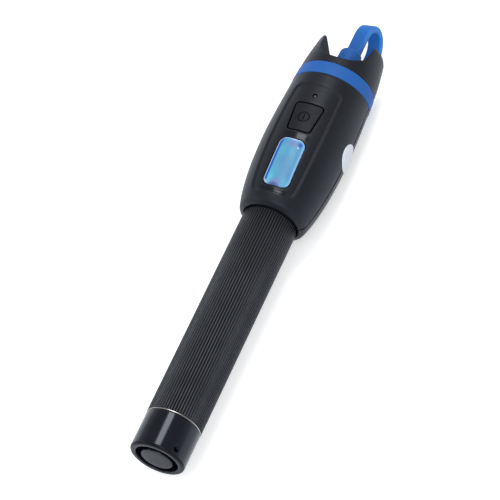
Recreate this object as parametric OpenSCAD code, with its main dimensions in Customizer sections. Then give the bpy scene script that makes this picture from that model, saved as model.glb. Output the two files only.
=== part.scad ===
// Visual fault locator pen: a ribbed tube for two AA cells, a wide moulded head with a power button,
// an optical port for 2.5 mm ferrules inside a forked crown, and a tethered dust cap.
// It is built along Z from its tail, with the button facing +X, then laid on its back along X.

/* [Cells] */
// Diameter of one AA cell
cell_d = 14.5; // [14.1:0.1:14.6]
// Length of one AA cell over its nub
cell_length = 50.5; // [49.5:0.1:50.8]

/* [Battery tube] */
// Diameter of the tube over its grip ribs
tube_d = 21; // [20.8:0.1:21.2]
// Bore that the cells slide in
tube_bore_d = 15.3; // [15:0.1:15.6]
// Number of lengthwise grip ribs
rib_count = 64; // [48:4:72]
// Height of a grip rib
rib_height = 0.35; // [0.2:0.05:0.4]

/* [Tail cap] */
// Diameter of the tail cap
tail_d = 20.8; // [20.4:0.1:21]
// Length of the tail cap outside the tube
tail_length = 14.5; // [14:0.1:15.5]
// Diameter of the post in the tail groove
post_d = 12; // [11:0.5:12.5]
// Outer diameter of the tail groove
groove_d = 16.2; // [15.8:0.1:16.6]
// Depth of the tail groove
groove_depth = 6; // [4.5:0.5:6.5]
// Diameter of the lanyard hole
lanyard_d = 2; // [1.6:0.1:2.4]
// Distance from the tail face to the lanyard hole
lanyard_at = 2.7; // [2.4:0.1:3.2]
// Turn of the lanyard hole from the button side, in degrees
lanyard_turn = 46.5; // [0:0.5:90]
// Diameter over the thread of the tail cap
tail_thread_d = 17.9; // [17.8:0.05:17.95]

/* [Head] */
// Largest diameter of the head
head_d = 33.3; // [33:0.1:33.8]
// Length of the head from its lip to the tips of the crown
head_length = 81; // [80.5:0.1:82]
// Depth of the recessed panel
panel_depth = 0.45; // [0.3:0.05:0.6]
// Half of the angle that the panel covers, in degrees
panel_turn = 37.5; // [36:0.5:40]
// Width of the seam between the two shells
seam_w = 0.16; // [0.1:0.02:0.24]

/* [Badge] */
// Length of the domed badge
badge_length = 20.7; // [19:0.1:21]
// Width of the domed badge
badge_width = 10.6; // [10:0.1:11]

/* [Button] */
// Length of the button along the head
button_length = 12.6; // [12.4:0.1:12.8]
// Width of the button at its tail side
button_width_tail = 8.5; // [8:0.1:9]
// Width of the button at its port side
button_width_port = 11; // [10.6:0.1:11.4]
// Gap around the button
button_gap = 0.4; // [0.3:0.05:0.45]
// Travel of the button
button_travel = 0.5; // [0.3:0.05:0.5]

/* [Port] */
// Bore of the ferrule sleeve
ferrule_d = 2.5; // [2.4:0.05:2.6]
// Diameter of the port adapter
adapter_d = 6.4; // [6.2:0.1:6.5]
// Width of the accent ring along the head
ring_w = 5.7; // [5.4:0.1:6]

/* [Dust cap] */
// Diameter of the dust cap
dust_d = 8.9; // [8.7:0.1:9.3]
// Length of the dust cap
dust_length = 12.1; // [11.6:0.1:12.6]
// Width of the strap
strap_w = 5.1; // [4.6:0.1:5.3]
// Thickness of the strap
strap_t = 2.6; // [2.2:0.1:2.7]
// Turn of the strap from the back of the head, in degrees
strap_turn = 12; // [4:1:14]

/* [Hidden] */
$fn = 96;

// colours
black_gloss = [0.13, 0.13, 0.15];
black_matte = [0.18, 0.18, 0.2];
tube_black = [0.12, 0.12, 0.13];
tether_blue = [0.22, 0.42, 0.74];
badge_blue = [0.42, 0.68, 0.85];
label_grey = [0.87, 0.88, 0.9];
metal_grey = [0.72, 0.72, 0.74];
brass_tone = [0.8, 0.65, 0.35];
board_green = [0.1, 0.35, 0.2];
cell_grey = [0.55, 0.57, 0.6];
rubber_black = [0.08, 0.08, 0.08];
ceramic_white = [0.93, 0.92, 0.88];
lens_clear = [0.8, 0.9, 0.95, 0.4];

// clearances
fit = 0.05; // running fit, on the radius
gap = 0.1; // between faces that don't touch
slack = 0.3; // around loose pieces

// tail cap
tail_round = 0.7;
tail_edge = 0.4;
tail_floor = 3;
tail_cavity_d = 14.9;
tail_thread_length = 8.5;
seal_groove_at = 1.1;
seal_groove_w = 1.4;
seal_groove_depth = 0.8;
tail_cavity_z = groove_depth + tail_floor;
tail_thread_end = tail_length + tail_thread_length;
contact_t = 0.85;
contact_boss_d = 4;
contact_boss_h = 0.6;
spring_length = 7.2;
spring_wire = 0.8;
spring_wide_d = 13;
spring_narrow_d = 7;
spring_z = tail_cavity_z + fit + contact_t + fit;

// cells and tube
cell_z = spring_z + spring_length + fit;
nub_d = 5.5;
nub_h = 1.2;
cells_end = cell_z + 2 * cell_length;
cell_in_head = 14;
head_z = cells_end - cell_in_head;
collar_w = 0.8;
collar_d = 20.7;
rib_top_share = 0.42;
rib_foot_share = 0.8;
tube_neck_d = 20;
tube_reach = 1.8;
tube_end = cells_end + tube_reach;
lip_gap = 0.4;
tube_z = tail_length + gap;
tube_thread_d = tail_thread_d + 2 * fit;
tube_thread_end = tail_thread_end + lip_gap;

// head: places along it and radii, as shares of its length and of its largest diameter
along_share = [0, 0.0062, 0.0148, 0.0271, 0.0457, 0.0704, 0.1012, 0.1506, 0.2123, 0.2864, 0.3605,
    0.4346, 0.521, 0.6074, 0.6938, 0.7802, 0.8667, 0.9531, 0.9914, 1];
radius_share = [0.3301, 0.3571, 0.3842, 0.3962, 0.4097, 0.425, 0.4394, 0.4586, 0.4769, 0.4907,
    0.4982, 0.5, 0.4952, 0.4865, 0.4755, 0.4637, 0.4477, 0.4177, 0.4009, 0.393];
curve_steps = 2;
ring_share = 0.7284;
ring_z = head_z + ring_share * head_length;
ring_end = ring_z + ring_w;
shell_end = ring_z - fit;
head_end = head_z + head_length;
ring_proud = 0.15;
ring_edge = 0.3;
seat_d = tube_neck_d + 2 * fit;
seat_short = 3.3;
relief_d = 0.721 * head_d;
relief_share = 0.1457;
relief_end = head_z + relief_share * head_length;
carrier_z = tube_end + fit;
carrier_t = 3.8;
carrier_end = carrier_z + carrier_t;
cavity_d = 0.841 * head_d;
cavity_z = carrier_end + lip_gap;
end_wall = 1.8;
cavity_end = shell_end - end_wall;
keel_x = 0.24 * head_d;
neck_d = 0.721 * head_d;

// recessed panel
panel_share = 0.0531;
panel_z = head_z + panel_share * head_length;
panel_end_share = 0.6667;
panel_end = head_z + panel_end_share * head_length;
panel_corner = 3.4;
panel_half = head_d * 0.312;

// badge
badge_share = 0.0864;
badge_z = head_z + badge_share * head_length;
badge_corner = 2.7;
badge_rise = 0.4;
badge_t = 1;
badge_gap = 0.15;

// button
button_share = 0.3852;
button_z = head_z + button_share * head_length;
button_end = button_z + button_length;
button_corner = 1.2;
button_proud = 0.05;
flange_x = 0.3363 * head_d;
flange_t = 0.8;
flange_edge = 0.9;
stem_d = 4.4;
stem_h = 0.7;
keeper_drop = 1.5;
keeper_x = flange_x - keeper_drop;
keeper_t = 0.7;
keeper_rim = 2.2;
keeper_half = 7.4;
boss_t = 1.3;
boss_gap = 0.4;
window_half = 4;
keeper_z = button_z - flange_edge - boss_gap - boss_t;
keeper_end = button_end + flange_edge + boss_gap + boss_t;

// circuit board
board_t = 1.6;
board_half = 9.4;
switch_half = 3;
switch_h = 1.7;
stem_gap = 0.7;
board_top = flange_x - stem_h - stem_gap - switch_h;
board_x = board_top - board_t;
plunger_d = 3.5;
plunger_top = flange_x - stem_h - gap;
plunger_foot = board_top + 0.6 * switch_h;
pocket_foot = board_top + 0.27 * switch_h;
switch_mid = button_z + button_length / 2;
led_half = 0.8;
led_h = 0.8;
pipe_d = 1.4;
pipe_gap = 0.35;
pipe_sunk = 0.9;

// light path
block_flange_t = 4;
block_z = cavity_end - block_flange_t;
led_share = 0.35;
led_at = keeper_end + led_share * (block_z - keeper_end);
barrel_d = 7.8;
barrel_bore_d = 3.6;
barrel_reach = 16.4;
barrel_z = block_z - barrel_reach;
barrel_end = ring_z;
lens_d = 4.4;
lens_t = 1.7;
lens_seat_d = lens_d + 2 * fit;
lens_seat_t = 2;
can_d = 5.6;
can_t = 3.5;
aperture_d = 3.6;
spigot_d = 6;
spigot_reach = 4.3;
spigot_z = ring_end - spigot_reach;
adapter_flange_d = 10.4;
adapter_flange_t = 2;
adapter_bore_d = 3.3;
adapter_wall = 0.03;
sleeve_d = adapter_bore_d - 2 * adapter_wall;
sleeve_length = 11.6;

// crown
floor_t = 2.3;
floor_top = ring_end + floor_t;
crown_bore_d = 15.2;
valley_rise = 2.9;
valley_z = ring_end + valley_rise;
valley_length = head_end - valley_z;
valley_up_share = [0, 0.015, 0.053, 0.116, 0.209, 0.317, 0.447, 0.59, 0.738, 1.1];
valley_half_share = [0, 0.084, 0.135, 0.185, 0.23, 0.263, 0.279, 0.285, 0.288, 0.292];
tip_round = 3.4;
tip_half = 9.4;
nut_flats = 8.6;
nut_h = 1.8;
nut_top = floor_top + nut_h;

// dust cap and strap
dust_z = nut_top + slack;
dust_end = dust_z + dust_length;
dust_roof = 2.2;
roof_gap = 0.8;
adapter_end = dust_end - dust_roof - roof_gap;
dust_round = 1.5;
dust_bore_d = adapter_d + 2 * fit;
strap_from = 0.7;
strap_shift = 0.5;
strap_span = 13.8;
strap_rise = 7.75;
arch_reach = 25.4;
arch_steps = 28;
arch_z = ring_end + arch_reach;
arch_mid = strap_from + strap_span / 2;
leg_u = strap_from + strap_span;
leg_down_share = [0, 0.06, 0.3, 0.6, 0.84, 0.96, 1];
leg_out_share = [0, 0.001, 0.019, 0.027, 0.006, -0.012, -0.012];
strap_top = arch_z + strap_rise + strap_t / 2;
notch_slack = 0.35;
notch_rise = 2.4;
notch_u = leg_u + leg_out_share[6] * arch_reach - strap_t / 2 - notch_slack;
notch_top = valley_z + notch_rise;

// label
label_d = 10.9;
label_t = 0.15;
label_share = 0.4444;
label_at = head_z + label_share * head_length;

middle_z = strap_top / 2;
far = 2 * head_d;

function sum_slope(a, b, i) = (b[i + 1] - b[i - 1]) / (a[i + 1] - a[i - 1]);
function end_slope(a, b, i) = (b[i + 1] - b[i]) / (a[i + 1] - a[i]);
function slope(a, b, i) =
    i == 0 ? end_slope(a, b, 0) :
    i == len(a) - 1 ? end_slope(a, b, len(a) - 2) : sum_slope(a, b, i);
function ease(p, q, m, n, w, t) =
    (2 * t * t * t - 3 * t * t + 1) * p + (t * t * t - 2 * t * t + t) * w * m +
    (3 * t * t - 2 * t * t * t) * q + (t * t * t - t * t) * w * n;
function cell_of(a, s) = max([for (i = [0 : len(a) - 2]) s >= a[i] ? i : 0]);
function curve(a, b, s) =
    let (i = cell_of(a, s), w = a[i + 1] - a[i], t = (s - a[i]) / w)
    ease(b[i], b[i + 1], slope(a, b, i), slope(a, b, i + 1), w, t);
function refine(a, n) = concat(
    [for (i = [0 : len(a) - 2]) for (k = [0 : n - 1]) a[i] + (a[i + 1] - a[i]) * k / n],
    [a[len(a) - 1]]);
function head_r(z) = head_d * curve(along_share, radius_share, min(1, max(0, (z - head_z) / head_length)));
fine_share = refine(along_share, curve_steps);

// Arc points [r, z] about a centre
function arc(r, z, radius, from, to, n) =
    [for (i = [0 : n]) let (t = from + (to - from) * i / n) [r + radius * cos(t), z + radius * sin(t)]];

// The head's outline [r, z] between two places, grown by a little
function head_curve(from, to, grow) = concat(
    [[head_r(from) + grow, from]],
    [for (s = fine_share) let (z = head_z + s * head_length) if (z > from + fit && z < to - fit)
        [head_r(z) + grow, z]],
    [[head_r(to) + grow, to]]);

// The head's outside between two places, as a solid of revolution
module head_solid(from, to) {
    rotate_extrude()
        polygon(concat([[0, from]], head_curve(from, to, 0), [[0, to]]));
}

// Skin of the head between two levels of growth
module head_band(from, to, low, high) {
    under = head_curve(from, to, low);
    rotate_extrude()
        polygon(concat(head_curve(from, to, high), [for (i = [len(under) - 1 : -1 : 0]) under[i]]));
}

// Turned piece along Z from one place to another
module turned(d, from, to) {
    translate([0, 0, from])
        cylinder(d = d, h = to - from);
}

// Flat outline seen from the button side, from the axis outwards
module from_front(reach) {
    translate([reach, 0, 0])
        rotate([0, -90, 0])
            linear_extrude(reach)
                children();
}

// Outline with round corners, wider at one end than at the other
module keystone(from, to, half_from, half_to, corner) {
    run = to - from;
    lean = half_to - half_from;
    side = sqrt(run * run + lean * lean);
    up = run / side;
    back = lean / side;
    y_from = half_from + lean * corner / run - corner / up;
    y_to = half_to - lean * corner / run - corner / up;
    tilt = asin(back);
    upper = concat(arc(from + corner, y_from, corner, 180, 90 + tilt, 7),
        arc(to - corner, y_to, corner, 90 + tilt, 0, 7));
    polygon(concat(upper, [for (i = [len(upper) - 1 : -1 : 0]) [upper[i][0], -upper[i][1]]]));
}

// Box between two corners
module block(low, high) {
    translate(low)
        cube(high - low);
}

// Lays the pen on its back along X, with the button up
module lay() {
    translate([-middle_z, 0, head_d / 2])
        rotate([0, 90, 0])
            rotate([0, 0, 180])
                children();
}

module tail_cap() {
    color(black_gloss) lay()
        difference() {
            rotate_extrude()
                polygon(concat(
                    [[0, 0], [post_d / 2 - tail_edge, 0], [post_d / 2, tail_edge],
                    [post_d / 2, groove_depth], [groove_d / 2, groove_depth],
                    [groove_d / 2, tail_edge], [groove_d / 2 + tail_edge, 0]],
                    arc(tail_d / 2 - tail_round, tail_round, tail_round, -90, 0, 6),
                    [[tail_d / 2, tail_length - tail_edge / 2], [tail_d / 2 - tail_edge / 2, tail_length],
                    [tail_thread_d / 2, tail_length],
                    [tail_thread_d / 2, tail_length + seal_groove_at],
                    [tail_thread_d / 2 - seal_groove_depth, tail_length + seal_groove_at],
                    [tail_thread_d / 2 - seal_groove_depth, tail_length + seal_groove_at + seal_groove_w],
                    [tail_thread_d / 2, tail_length + seal_groove_at + seal_groove_w],
                    [tail_thread_d / 2, tail_thread_end - tail_edge],
                    [tail_thread_d / 2 - tail_edge, tail_thread_end],
                    [tail_cavity_d / 2, tail_thread_end], [tail_cavity_d / 2, tail_cavity_z],
                    [0, tail_cavity_z]]));
            rotate([0, 0, lanyard_turn])
                translate([post_d / 2 + tail_edge, 0, lanyard_at])
                    rotate([0, 90, 0])
                        cylinder(d = lanyard_d, h = tail_d, $fn = 48);
        }
}

module tail_seal() {
    inside = tail_thread_d / 2 - seal_groove_depth + fit;
    outside = tail_thread_d / 2 + fit / 2;
    mid = (inside + outside) / 2;
    color(rubber_black) lay()
        translate([0, 0, tail_length + seal_groove_at + seal_groove_w / 2])
            rotate_extrude()
                translate([mid, 0])
                    circle(r = (outside - inside) / 2, $fn = 32);
}

module tail_contact() {
    color(metal_grey) lay() {
        turned(tail_cavity_d - 4 * fit, tail_cavity_z + fit, tail_cavity_z + fit + contact_t);
        turned(contact_boss_d, tail_cavity_z + contact_t, tail_cavity_z + contact_t + contact_boss_h);
    }
}

module tail_spring() {
    color(metal_grey) lay()
        rotate_extrude()
            polygon([[spring_wide_d / 2 - spring_wire, spring_z], [spring_wide_d / 2, spring_z],
                [spring_narrow_d / 2, spring_z + spring_length],
                [spring_narrow_d / 2 - spring_wire, spring_z + spring_length]]);
}

module battery_tube() {
    pitch = 360 / rib_count;
    top = rib_top_share * pitch / 2;
    foot = rib_foot_share * pitch / 2;
    root = tube_d / 2 - rib_height;
    color(tube_black) lay()
        difference() {
            union() {
                translate([0, 0, tube_z + collar_w])
                    linear_extrude(head_z - lip_gap - tube_z - collar_w)
                        polygon([for (i = [0 : rib_count - 1]) for (p = [[-foot, root], [-top, tube_d / 2],
                            [top, tube_d / 2], [foot, root]])
                            [p[1] * cos(i * pitch + p[0]), p[1] * sin(i * pitch + p[0])]]);
                turned(collar_d, tube_z, tube_z + collar_w);
                turned(tube_neck_d, tube_z + collar_w, tube_end);
            }
            turned(tube_bore_d, tube_z - gap, tube_end + gap);
            turned(tube_thread_d, tube_z - gap, tube_thread_end);
        }
}

module cell(from) {
    turned(cell_d, from, from + cell_length - nub_h);
    turned(nub_d, from + cell_length - nub_h, from + cell_length);
}

module battery_rear() {
    color(cell_grey) lay()
        cell(cell_z);
}

module battery_front() {
    color(cell_grey) lay()
        cell(cell_z + cell_length);
}

module contact_carrier() {
    color(black_matte) lay()
        difference() {
            union() {
                turned(tube_neck_d, carrier_z, carrier_end);
                turned(tube_bore_d - 4 * fit, cells_end + contact_t + fit, carrier_z + fit);
            }
            turned(contact_boss_d + 2 * fit, cells_end, carrier_end + gap);
        }
}

module front_contact() {
    color(metal_grey) lay() {
        turned(contact_boss_d * 2, cells_end, cells_end + contact_t);
        turned(contact_boss_d, cells_end, carrier_end + fit);
    }
}

// The recessed panel's outline cut to a wedge of the head
module panel_cut() {
    intersection() {
        head_band(panel_z, panel_end, -panel_depth, slack);
        from_front(far)
            keystone(panel_z, panel_end, panel_half, panel_half, panel_corner);
        rotate([0, 0, -panel_turn])
            rotate_extrude(angle = 2 * panel_turn)
                translate([0, panel_z - gap])
                    square([head_d, panel_end - panel_z + 2 * gap]);
    }
}

module button_outline(grow) {
    keystone(button_z - grow, button_end + grow, button_width_tail / 2 + grow,
        button_width_port / 2 + grow, button_corner + grow);
}

module badge_outline(grow) {
    keystone(badge_z - grow, badge_z + badge_length + grow, badge_width / 2 + grow,
        badge_width / 2 + grow, badge_corner + grow);
}

// Hollow body of the head, whole, before it is split
module head_shell() {
    difference() {
        head_solid(head_z, shell_end);
        turned(seat_d, head_z - gap, cavity_z);
        turned(relief_d, head_z + seat_short, relief_end);
        turned(cavity_d, cavity_z, cavity_end);
        turned(neck_d + 2 * fit, cavity_end - gap, shell_end + gap);
    }
}

module front_half() {
    block([seam_w / 2, -far, head_z - gap], [far, far, shell_end + gap]);
}

module rear_half() {
    block([-far, -far, head_z - gap], [-seam_w / 2, far, shell_end + gap]);
}

module front_shell() {
    pane = badge_t + panel_depth - badge_rise + fit;
    color(black_matte) lay() {
        difference() {
            intersection() {
                head_shell();
                front_half();
            }
            panel_cut();
            intersection() {
                from_front(far)
                    badge_outline(badge_gap);
                head_band(badge_z - slack, badge_z + badge_length + slack, -pane, slack);
            }
            from_front(far)
                button_outline(button_gap);
            translate([0, 0, led_at])
                rotate([0, 90, 0])
                    cylinder(d = pipe_d + 2 * fit, h = far, $fn = 48);
            block([flange_x - gap, -button_width_port / 2 - flange_edge - gap, button_z - flange_edge - gap],
                [flange_x + flange_t + gap, button_width_port / 2 + flange_edge + gap,
                 button_end + flange_edge + gap]);
        }
        for (z = [keeper_z, keeper_end - boss_t])
            intersection() {
                block([keeper_x + keeper_t, -keeper_half, z], [far, keeper_half, z + boss_t]);
                turned(cavity_d + fit, z, z + boss_t);
            }
    }
}

// Rear half, with a thick keel that keeps the lying pen from rolling
module rear_shell() {
    color(black_matte) lay() {
        intersection() {
            head_shell();
            rear_half();
        }
        intersection() {
            turned(cavity_d + fit, cavity_z - fit, block_z - gap);
            block([-far, -far, head_z], [-keel_x, far, shell_end]);
        }
    }
}

module circuit_board() {
    color(board_green) lay()
        block([board_x, -board_half, cavity_z + gap], [board_top, board_half, block_z - gap]);
}

module switch_body() {
    color(black_matte) lay()
        difference() {
            block([board_top, -switch_half, switch_mid - switch_half],
                [board_top + switch_h, switch_half, switch_mid + switch_half]);
            translate([pocket_foot, 0, switch_mid])
                rotate([0, 90, 0])
                    cylinder(d = plunger_d + 2 * fit, h = switch_h, $fn = 48);
        }
}

module switch_plunger() {
    color(metal_grey) lay()
        translate([plunger_foot, 0, switch_mid])
            rotate([0, 90, 0])
                cylinder(d = plunger_d, h = plunger_top - plunger_foot, $fn = 48);
}

module power_button() {
    color(black_matte) lay() {
        intersection() {
            from_front(far)
                button_outline(0);
            head_band(button_z - slack, button_end + slack, -head_d / 4, button_proud - panel_depth);
            block([flange_x + flange_t, -far, button_z - slack], [far, far, button_end + slack]);
        }
        block([flange_x, -button_width_port / 2 - flange_edge, button_z - flange_edge],
            [flange_x + flange_t, button_width_port / 2 + flange_edge, button_end + flange_edge]);
        translate([plunger_top + gap, 0, switch_mid])
            rotate([0, 90, 0])
                cylinder(d = stem_d, h = stem_h + fit, $fn = 48);
    }
}

module button_keeper() {
    color(black_matte) lay()
        difference() {
            block([keeper_x, -keeper_half, keeper_z], [keeper_x + keeper_t, keeper_half, keeper_end]);
            block([keeper_x - gap, -window_half, keeper_z + keeper_rim],
                [keeper_x + keeper_t + gap, window_half, keeper_end - keeper_rim]);
        }
}

module indicator_led() {
    color(ceramic_white) lay()
        block([board_top, -led_half / 2, led_at - led_half],
            [board_top + led_h, led_half / 2, led_at + led_half]);
}

module light_pipe() {
    foot = board_top + led_h + pipe_gap;
    color(lens_clear) lay()
        translate([foot, 0, led_at])
            rotate([0, 90, 0])
                cylinder(d = pipe_d, h = head_r(led_at) - panel_depth - pipe_sunk - foot, $fn = 48);
}

module badge() {
    pane = badge_t + panel_depth - badge_rise;
    color(badge_blue) lay()
        intersection() {
            from_front(far)
                badge_outline(0);
            head_band(badge_z - slack, badge_z + badge_length + slack, -pane, badge_rise - panel_depth);
        }
}

module seal_label() {
    color(label_grey) lay()
        intersection() {
            translate([0, 0, label_at])
                rotate([-90, 0, 0])
                    cylinder(d = label_d, h = head_d);
            head_band(label_at - label_d, label_at + label_d, 0, label_t);
        }
}

module optical_block() {
    color(metal_grey) lay()
        difference() {
            union() {
                turned(cavity_d - 2 * fit, block_z, cavity_end - fit);
                turned(neck_d, cavity_end - 2 * fit, ring_end - fit);
            }
            turned(barrel_d + 2 * fit, block_z - gap, barrel_end + fit);
            turned(aperture_d, block_z, ring_end);
            turned(spigot_d + 2 * fit, spigot_z - fit, ring_end);
            turned(adapter_flange_d + 2 * fit, ring_end - adapter_flange_t - 2 * fit, ring_end + gap);
        }
}

module laser_module() {
    color(brass_tone) lay()
        difference() {
            union() {
                turned(barrel_d, barrel_z, barrel_end);
                turned(can_d, barrel_z - can_t, barrel_z + gap);
            }
            turned(barrel_bore_d, barrel_z + can_t, barrel_end + gap);
            turned(lens_seat_d, barrel_end - lens_seat_t, barrel_end + gap);
        }
}

module focus_lens() {
    bulge = lens_d;
    color(lens_clear) lay()
        intersection() {
            turned(lens_d, barrel_end - lens_seat_t + fit, barrel_end);
            translate([0, 0, barrel_end - lens_seat_t + fit + lens_t - bulge])
                sphere(r = bulge);
        }
}

module port_adapter() {
    color(metal_grey) lay()
        difference() {
            union() {
                turned(spigot_d, spigot_z, ring_end - adapter_flange_t);
                turned(adapter_flange_d, ring_end - adapter_flange_t - fit, ring_end - fit);
                turned(adapter_d, ring_end - 2 * fit, adapter_end);
            }
            turned(adapter_bore_d, spigot_z - gap, adapter_end + gap);
        }
}

module ferrule_sleeve() {
    color(ceramic_white) lay()
        difference() {
            turned(sleeve_d, adapter_end - slack - sleeve_length, adapter_end - slack);
            turned(ferrule_d, adapter_end - sleeve_length - head_d, adapter_end + gap);
        }
}

module adapter_nut() {
    color(metal_grey) lay()
        difference() {
            translate([0, 0, floor_top])
                cylinder(d = nut_flats / cos(30), h = nut_h, $fn = 6);
            turned(adapter_d + 2 * fit, floor_top - gap, nut_top + gap);
        }
}

module accent_ring() {
    low = head_r(ring_z) + ring_proud;
    high = head_r(ring_end) + ring_proud;
    color(tether_blue) lay()
        rotate_extrude()
            polygon([[neck_d / 2 + fit, ring_z], [low - ring_edge, ring_z], [low, ring_z + ring_edge],
                [high, ring_end - ring_edge], [high - ring_edge, ring_end], [neck_d / 2 + fit, ring_end]]);
}

// Half outline of the crown's two-sided cut, as [along, across]
function valley_points(side) =
    [for (s = refine(valley_up_share, curve_steps))
        [valley_z + s * valley_length, side * head_d * curve(valley_up_share, valley_half_share, s)]];

// What a round corner of the crown's tips leaves off, as seen from the side
module tip_corner(side) {
    rotate([0, 0, 90])
        translate([-far, 0, 0])
            from_front(2 * far)
                polygon(concat([for (p = arc(head_end - tip_round, tip_half - tip_round, tip_round, 0, 90, 8))
                    [p[0], side * p[1]]],
                    [[head_end - tip_round, side * far], [head_end + gap, side * far],
                    [head_end + gap, side * (tip_half - tip_round)]]));
}

module crown() {
    low = valley_points(-1);
    high = valley_points(1);
    color(black_matte) lay()
        difference() {
            head_solid(ring_end, head_end);
            turned(crown_bore_d, floor_top, head_end + gap);
            turned(adapter_d + 2 * fit, ring_end - gap, floor_top + gap);
            translate([-far, 0, 0])
                from_front(2 * far)
                    polygon(concat(high, [for (i = [len(low) - 1 : -1 : 1]) low[i]]));
            tip_corner(1);
            tip_corner(-1);
            rotate([0, 0, 180 - strap_turn])
                block([notch_u, -strap_shift - strap_w / 2 - notch_slack, ring_end - gap],
                    [far, strap_w / 2 - strap_shift + notch_slack, notch_top]);
        }
}

// Middle line of the strap from the dust cap over the arch to the ring, as [outward, along]
function strap_line() = concat(
    [[strap_from, dust_end + fit], [strap_from, (dust_end + fit + arch_z) / 2]],
    [for (i = [0 : arch_steps])
        [arch_mid - strap_span / 2 * cos(180 * i / arch_steps),
         arch_z + strap_rise * sin(180 * i / arch_steps)]],
    [for (s = refine(leg_down_share, curve_steps))
        if (s > 0) [leg_u + arch_reach * curve(leg_down_share, leg_out_share, s),
            arch_z - s * (arch_reach - fit)]]);

// One face of the strap, half a thickness beside its middle line
function strap_face(line, side) =
    [for (i = [0 : len(line) - 1])
        let (way = line[min(i + 1, len(line) - 1)] - line[max(i - 1, 0)])
        line[i] + side * strap_t / 2 * [way[1], -way[0]] / norm(way)];

module cap_strap() {
    line = strap_line();
    low = strap_face(line, 1);
    high = strap_face(line, -1);
    color(tether_blue) lay()
        rotate([0, 0, 180 - strap_turn])
            translate([0, strap_w / 2 - strap_shift, 0])
                rotate([90, 0, 0])
                    linear_extrude(strap_w)
                        polygon(concat(high, [for (i = [len(low) - 1 : -1 : 0]) low[i]]));
}

module dust_cap() {
    color(tether_blue) lay()
        rotate_extrude()
            polygon(concat([[dust_bore_d / 2, dust_z], [dust_d / 2, dust_z]],
                arc(dust_d / 2 - dust_round, dust_end - fit - dust_round, dust_round, 0, 90, 6),
                [[0, dust_end - fit], [0, dust_end - dust_roof], [dust_bore_d / 2, dust_end - dust_roof]]));
}

tail_cap();
tail_seal();
tail_contact();
tail_spring();
battery_tube();
battery_rear();
battery_front();
contact_carrier();
front_contact();
front_shell();
rear_shell();
circuit_board();
switch_body();
switch_plunger();
power_button();
button_keeper();
indicator_led();
light_pipe();
badge();
seal_label();
optical_block();
laser_module();
focus_lens();
port_adapter();
ferrule_sleeve();
adapter_nut();
accent_ring();
crown();
cap_strap();
dust_cap();
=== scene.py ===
"""Visual fault locator pen: the looks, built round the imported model.

All places are in millimetres along the pen from its tail face ("along"), as an angle round its axis from the
button side ("turn", in degrees) and as a distance from that axis ("radius"). A place sideways ("side") is seen
from the button side with the port up, and grows to the right. MM turns millimetres into Blender's metres.
"""

import math

import bpy
from mathutils import Matrix, Vector


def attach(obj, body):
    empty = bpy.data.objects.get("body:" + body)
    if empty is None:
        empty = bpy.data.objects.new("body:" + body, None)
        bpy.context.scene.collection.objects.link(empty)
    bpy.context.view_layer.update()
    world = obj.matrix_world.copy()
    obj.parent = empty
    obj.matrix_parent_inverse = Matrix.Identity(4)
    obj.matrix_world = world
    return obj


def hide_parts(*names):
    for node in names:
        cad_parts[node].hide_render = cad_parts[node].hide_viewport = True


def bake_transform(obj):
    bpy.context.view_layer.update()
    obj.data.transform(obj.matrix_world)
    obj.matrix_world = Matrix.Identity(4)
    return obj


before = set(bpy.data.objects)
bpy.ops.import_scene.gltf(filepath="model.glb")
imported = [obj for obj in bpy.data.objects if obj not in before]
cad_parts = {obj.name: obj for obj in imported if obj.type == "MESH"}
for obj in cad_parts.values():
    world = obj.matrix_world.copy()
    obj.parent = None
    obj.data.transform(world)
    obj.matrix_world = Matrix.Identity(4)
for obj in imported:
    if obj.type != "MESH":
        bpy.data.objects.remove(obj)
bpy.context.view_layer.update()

MM = 0.001
MIDDLE = 101.675  # along the pen, where the frame's origin is
AXIS = 16.65  # height of the pen's axis over the origin

# the head's outline; like all that follows, it is within a millimetre of the CAD model
HEAD_Z = 104.2
HEAD_LENGTH = 81.0
HEAD_D = 33.3
HEAD_ALONG_SHARES = [0, 0.0062, 0.0148, 0.0271, 0.0457, 0.0704, 0.1012, 0.1506, 0.2123, 0.2864, 0.3605,
                     0.4346, 0.521, 0.6074, 0.6938, 0.7802, 0.8667, 0.9531, 0.9914, 1]
HEAD_RADIUS_SHARES = [0.3301, 0.3571, 0.3842, 0.3962, 0.4097, 0.425, 0.4394, 0.4586, 0.4769, 0.4907,
                      0.4982, 0.5, 0.4952, 0.4865, 0.4755, 0.4637, 0.4477, 0.4177, 0.4009, 0.393]

# shells
LIP_END = 104.7
NECK_END = 107.6
SHELL_END = 163.15
WALL = 2.6
SEAM_FRONT, SEAM_REAR = 2.1, 0.5  # how far each shell stops before the seam, in degrees
TOOL_LOW, TOOL_HIGH = 8, 22  # heights over the axis between which a tool goes through the wall

# recessed panel
PANEL_Z = 108.4
PANEL_END = 158.0
PANEL_DEPTH = 0.45
PANEL_HALF = 11.0
PANEL_CORNER = 3.4
PANEL_RAMP = 1.35
PANEL_RAMP_MORE = 0.9  # how much longer its ramp is on the right
PANEL_TURN = -0.9  # degrees that its middle is off the button side
PANEL_RADIUS = 16.2  # the radius on which its width is measured
LAND_PLACES = ((133.6, 1.3), (109.9, 1.1))  # middle and half length of its two smooth lands

# button, its window and its sign; a shape is the half widths at both ends and the radius of the corners
BUTTON_Z = 135.95
BUTTON_END = 148.25
BUTTON_SIDE = -0.25
BUTTON_SHAPE = (4.17, 5.42, 1.15)
WINDOW_SHAPE = (4.78, 6.03, 1.7)
WINDOW_GAP = 0.52
FLANGE_SHAPE = (6.0, 6.4, 1.0)
FLANGE_REACH = 0.9
SIGN_AT = 142.1
SIGN_RADIUS = 2.1
SIGN_HALF = 0.23
LINE_Z, LINE_END = 140.7, 143.4
LINE_SHAPE = (0.22, 0.22, 0.2)
SIGN_SIDE = -0.45
LAMP_AT = 152.4
LAMP_SIDE = -0.2
LAMP_HOLE = 1.0
LAMP_LENS = 0.7

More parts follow.
